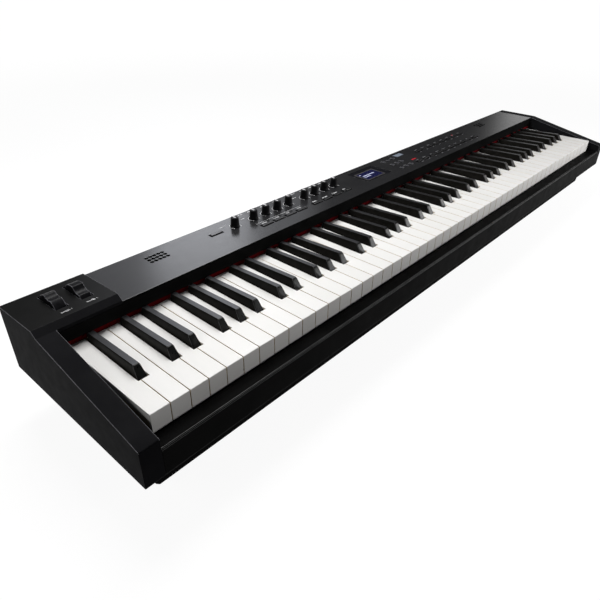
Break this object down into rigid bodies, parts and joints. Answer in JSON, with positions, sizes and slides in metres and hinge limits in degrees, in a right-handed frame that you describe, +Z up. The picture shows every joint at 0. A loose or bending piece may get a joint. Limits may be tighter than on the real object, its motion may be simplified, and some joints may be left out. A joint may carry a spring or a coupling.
{
  "type": "stage piano",
  "caption": "Slim black stage piano with a full keyboard, a knob and button panel with a display, two wheels and a low tray on rubber feet.",
  "frame": {"origin": "on the floor, under the middle of the case", "axes": "+X towards the treble end, +Y towards the rear sockets, +Z up"},
  "size_m": [1.284, 0.258, 0.159],
  "materials": {
    "case": "satin black moulded plastic",
    "panel": "satin charcoal with a faint metallic sheen",
    "rail": "satin black",
    "tray": "fine textured black paint",
    "rubber": "matt",
    "ivory": "semi-gloss ivory white",
    "ebony": "semi-gloss black",
    "felt": "dark red felt",
    "knob": "matt black",
    "steel": "bare sheet",
    "glass": "gloss black window",
    "screen": "dark blue screen",
    "board": "green circuit board",
    "speaker": "black frame and cone"
  },
  "bodies": {
    "case": {"bottom_chassis": "tray", "foot_1": "rubber", "foot_2": "rubber", "foot_3": "rubber", "foot_4": "rubber", "front_rail": "rail", "left_end_block": "case", "right_end_block": "case", "top_panel": "panel", "rear_panel": "tray", "key_frame": "steel", "name_felt": "felt", "display_window": "glass", "display_module": "screen", "speaker_left": "speaker", "speaker_right": "speaker", "main_board": "board", "jack_board": "board", "wheel_bracket": "steel"},
    "low_white_keys": {"low_white_keys": "ivory"},
    "high_white_keys": {"high_white_keys": "ivory"},
    "low_black_keys": {"low_black_keys": "ebony"},
    "high_black_keys": {"high_black_keys": "ebony"},
    "key_c4": {"key_c4": "ivory"},
    "key_cs4": {"key_cs4": "ebony"},
    "key_d4": {"key_d4": "ivory"},
    "key_ds4": {"key_ds4": "ebony"},
    "key_e4": {"key_e4": "ivory"},
    "key_f4": {"key_f4": "ivory"},
    "key_fs4": {"key_fs4": "ebony"},
    "key_g4": {"key_g4": "ivory"},
    "key_gs4": {"key_gs4": "ebony"},
    "key_a4": {"key_a4": "ivory"},
    "key_as4": {"key_as4": "ebony"},
    "key_b4": {"key_b4": "ivory"},
    "volume_knob": {"volume_knob": "knob"},
    "tone_knob_1": {"tone_knob_1": "knob"},
    "tone_knob_2": {"tone_knob_2": "knob"},
    "tone_knob_3": {"tone_knob_3": "knob"},
    "tone_knob_4": {"tone_knob_4": "knob"},
    "tone_knob_5": {"tone_knob_5": "knob"},
    "tone_knob_6": {"tone_knob_6": "knob"},
    "tone_knob_7": {"tone_knob_7": "knob"},
    "tone_knob_8": {"tone_knob_8": "knob"},
    "pitch_wheel": {"pitch_wheel": "knob"},
    "modulation_wheel": {"modulation_wheel": "knob"},
    "power_button": {"power_button": "knob"},
    "select_button_1": {"select_button_1": "knob"},
    "select_button_2": {"select_button_2": "knob"},
    "select_button_3": {"select_button_3": "knob"},
    "select_button_4": {"select_button_4": "knob"},
    "select_button_5": {"select_button_5": "knob"},
    "select_button_6": {"select_button_6": "knob"},
    "select_button_7": {"select_button_7": "knob"},
    "select_button_8": {"select_button_8": "knob"},
    "cursor_buttons": {"cursor_buttons": "knob"},
    "voice_buttons": {"voice_buttons": "knob"},
    "function_buttons": {"function_buttons": "knob"}
  },
  "joints": [
    {"name": "low_white_keys_pivot", "type": "hinge", "parent": "case", "child": "low_white_keys", "pos_m": [0, 0.109, 0.0965], "axis": [1, 0, 0], "range_deg": [0, 2.68], "stiffness_Nm_per_rad": 32, "springref_deg": -8.59},
    {"name": "high_white_keys_pivot", "type": "hinge", "parent": "case", "child": "high_white_keys", "pos_m": [0, 0.109, 0.0965], "axis": [1, 0, 0], "range_deg": [0, 2.68], "stiffness_Nm_per_rad": 31, "springref_deg": -8.59},
    {"name": "low_black_keys_pivot", "type": "hinge", "parent": "case", "child": "low_black_keys", "pos_m": [0, 0.093, 0.092], "axis": [1, 0, 0], "range_deg": [0, 3.9], "stiffness_Nm_per_rad": 14, "springref_deg": -6.88},
    {"name": "high_black_keys_pivot", "type": "hinge", "parent": "case", "child": "high_black_keys", "pos_m": [0, 0.093, 0.092], "axis": [1, 0, 0], "range_deg": [0, 3.9], "stiffness_Nm_per_rad": 13, "springref_deg": -6.88},
    {"name": "key_c4_pivot", "type": "hinge", "parent": "case", "child": "key_c4", "pos_m": [-0.05893, 0.109, 0.0965], "axis": [1, 0, 0], "range_deg": [0, 2.68], "stiffness_Nm_per_rad": 1.4, "springref_deg": -8.59},
    {"name": "key_cs4_pivot", "type": "hinge", "parent": "case", "child": "key_cs4", "pos_m": [-0.04943, 0.093, 0.092], "axis": [1, 0, 0], "range_deg": [0, 3.9], "stiffness_Nm_per_rad": 0.9, "springref_deg": -6.88},
    {"name": "key_d4_pivot", "type": "hinge", "parent": "case", "child": "key_d4", "pos_m": [-0.03536, 0.109, 0.0965], "axis": [1, 0, 0], "range_deg": [0, 2.68], "stiffness_Nm_per_rad": 1.4, "springref_deg": -8.59},
    {"name": "key_ds4_pivot", "type": "hinge", "parent": "case", "child": "key_ds4", "pos_m": [-0.02128, 0.093, 0.092], "axis": [1, 0, 0], "range_deg": [0, 3.9], "stiffness_Nm_per_rad": 0.9, "springref_deg": -6.88},
    {"name": "key_e4_pivot", "type": "hinge", "parent": "case", "child": "key_e4", "pos_m": [-0.01179, 0.109, 0.0965], "axis": [1, 0, 0], "range_deg": [0, 2.68], "stiffness_Nm_per_rad": 1.4, "springref_deg": -8.59},
    {"name": "key_f4_pivot", "type": "hinge", "parent": "case", "child": "key_f4", "pos_m": [0.01179, 0.109, 0.0965], "axis": [1, 0, 0], "range_deg": [0, 2.68], "stiffness_Nm_per_rad": 1.4, "springref_deg": -8.59},
    {"name": "key_fs4_pivot", "type": "hinge", "parent": "case", "child": "key_fs4", "pos_m": [0.02013, 0.093, 0.092], "axis": [1, 0, 0], "range_deg": [0, 3.9], "stiffness_Nm_per_rad": 0.9, "springref_deg": -6.88},
    {"name": "key_g4_pivot", "type": "hinge", "parent": "case", "child": "key_g4", "pos_m": [0.03536, 0.109, 0.0965], "axis": [1, 0, 0], "range_deg": [0, 2.68], "stiffness_Nm_per_rad": 1.4, "springref_deg": -8.59},
    {"name": "key_gs4_pivot", "type": "hinge", "parent": "case", "child": "key_gs4", "pos_m": [0.04714, 0.093, 0.092], "axis": [1, 0, 0], "range_deg": [0, 3.9], "stiffness_Nm_per_rad": 0.9, "springref_deg": -6.88},
    {"name": "key_a4_pivot", "type": "hinge", "parent": "case", "child": "key_a4", "pos_m": [0.05893, 0.109, 0.0965], "axis": [1, 0, 0], "range_deg": [0, 2.68], "stiffness_Nm_per_rad": 1.4, "springref_deg": -8.59},
    {"name": "key_as4_pivot", "type": "hinge", "parent": "case", "child": "key_as4", "pos_m": [0.07415, 0.093, 0.092], "axis": [1, 0, 0], "range_deg": [0, 3.9], "stiffness_Nm_per_rad": 0.9, "springref_deg": -6.88},
    {"name": "key_b4_pivot", "type": "hinge", "parent": "case", "child": "key_b4", "pos_m": [0.0825, 0.109, 0.0965], "axis": [1, 0, 0], "range_deg": [0, 2.68], "stiffness_Nm_per_rad": 1.4, "springref_deg": -8.59},
    {"name": "volume_knob_shaft", "type": "hinge", "parent": "case", "child": "volume_knob", "pos_m": [-0.31832, 0.10069, 0.142], "axis": [0, 0, -1], "range_deg": [-140, 140]},
    {"name": "tone_knob_1_shaft", "type": "hinge", "parent": "case", "child": "tone_knob_1", "pos_m": [-0.28081, 0.10069, 0.142], "axis": [0, 0, -1], "range_deg": [-140, 140]},
    {"name": "tone_knob_2_shaft", "type": "hinge", "parent": "case", "child": "tone_knob_2", "pos_m": [-0.25551, 0.10069, 0.142], "axis": [0, 0, -1], "range_deg": [-140, 140]},
    {"name": "tone_knob_3_shaft", "type": "hinge", "parent": "case", "child": "tone_knob_3", "pos_m": [-0.23021, 0.10069, 0.142], "axis": [0, 0, -1], "range_deg": [-140, 140]},
    {"name": "tone_knob_4_shaft", "type": "hinge", "parent": "case", "child": "tone_knob_4", "pos_m": [-0.20492, 0.10069, 0.142], "axis": [0, 0, -1], "range_deg": [-140, 140]},
    {"name": "tone_knob_5_shaft", "type": "hinge", "parent": "case", "child": "tone_knob_5", "pos_m": [-0.16731, 0.10069, 0.142], "axis": [0, 0, -1], "range_deg": [-140, 140]},
    {"name": "tone_knob_6_shaft", "type": "hinge", "parent": "case", "child": "tone_knob_6", "pos_m": [-0.14201, 0.10069, 0.142], "axis": [0, 0, -1], "range_deg": [-140, 140]},
    {"name": "tone_knob_7_shaft", "type": "hinge", "parent": "case", "child": "tone_knob_7", "pos_m": [-0.11671, 0.10069, 0.142], "axis": [0, 0, -1], "range_deg": [-140, 140]},
    {"name": "tone_knob_8_shaft", "type": "hinge", "parent": "case", "child": "tone_knob_8", "pos_m": [-0.09141, 0.10069, 0.142], "axis": [0, 0, -1], "range_deg": [-140, 140]},
    {"name": "pitch_wheel_axle", "type": "hinge", "parent": "case", "child": "pitch_wheel", "pos_m": [-0.59736, 0.09271, 0.137], "axis": [-1, 0, 0], "range_deg": [-28, 28], "stiffness_Nm_per_rad": 0.1},
    {"name": "modulation_wheel_axle", "type": "hinge", "parent": "case", "child": "modulation_wheel", "pos_m": [-0.56736, 0.09271, 0.137], "axis": [-1, 0, 0], "range_deg": [0, 52]},
    {"name": "power_button_travel", "type": "slide", "parent": "case", "child": "power_button", "axis": [0, 0, -1], "range_m": [0, 0.0008], "stiffness_N_per_m": 250, "springref_m": -0.002},
    {"name": "select_button_1_travel", "type": "slide", "parent": "case", "child": "select_button_1", "axis": [0, 0, -1], "range_m": [0, 0.0008], "stiffness_N_per_m": 250, "springref_m": -0.002},
    {"name": "select_button_2_travel", "type": "slide", "parent": "case", "child": "select_button_2", "axis": [0, 0, -1], "range_m": [0, 0.0008], "stiffness_N_per_m": 250, "springref_m": -0.002},
    {"name": "select_button_3_travel", "type": "slide", "parent": "case", "child": "select_button_3", "axis": [0, 0, -1], "range_m": [0, 0.0008], "stiffness_N_per_m": 250, "springref_m": -0.002},
    {"name": "select_button_4_travel", "type": "slide", "parent": "case", "child": "select_button_4", "axis": [0, 0, -1], "range_m": [0, 0.0008], "stiffness_N_per_m": 250, "springref_m": -0.002},
    {"name": "select_button_5_travel", "type": "slide", "parent": "case", "child": "select_button_5", "axis": [0, 0, -1], "range_m": [0, 0.0008], "stiffness_N_per_m": 250, "springref_m": -0.002},
    {"name": "select_button_6_travel", "type": "slide", "parent": "case", "child": "select_button_6", "axis": [0, 0, -1], "range_m": [0, 0.0008], "stiffness_N_per_m": 250, "springref_m": -0.002},
    {"name": "select_button_7_travel", "type": "slide", "parent": "case", "child": "select_button_7", "axis": [0, 0, -1], "range_m": [0, 0.0008], "stiffness_N_per_m": 250, "springref_m": -0.002},
    {"name": "select_button_8_travel", "type": "slide", "parent": "case", "child": "select_button_8", "axis": [0, 0, -1], "range_m": [0, 0.0008], "stiffness_N_per_m": 250, "springref_m": -0.002},
    {"name": "cursor_buttons_travel", "type": "slide", "parent": "case", "child": "cursor_buttons", "axis": [0, 0, -1], "range_m": [0, 0.0008], "stiffness_N_per_m": 1000, "springref_m": -0.002},
    {"name": "voice_buttons_travel", "type": "slide", "parent": "case", "child": "voice_buttons", "axis": [0, 0, -1], "range_m": [0, 0.0008], "stiffness_N_per_m": 1000, "springref_m": -0.002},
    {"name": "function_buttons_travel", "type": "slide", "parent": "case", "child": "function_buttons", "axis": [0, 0, -1], "range_m": [0, 0.0008], "stiffness_N_per_m": 1000, "springref_m": -0.002}
  ]
}
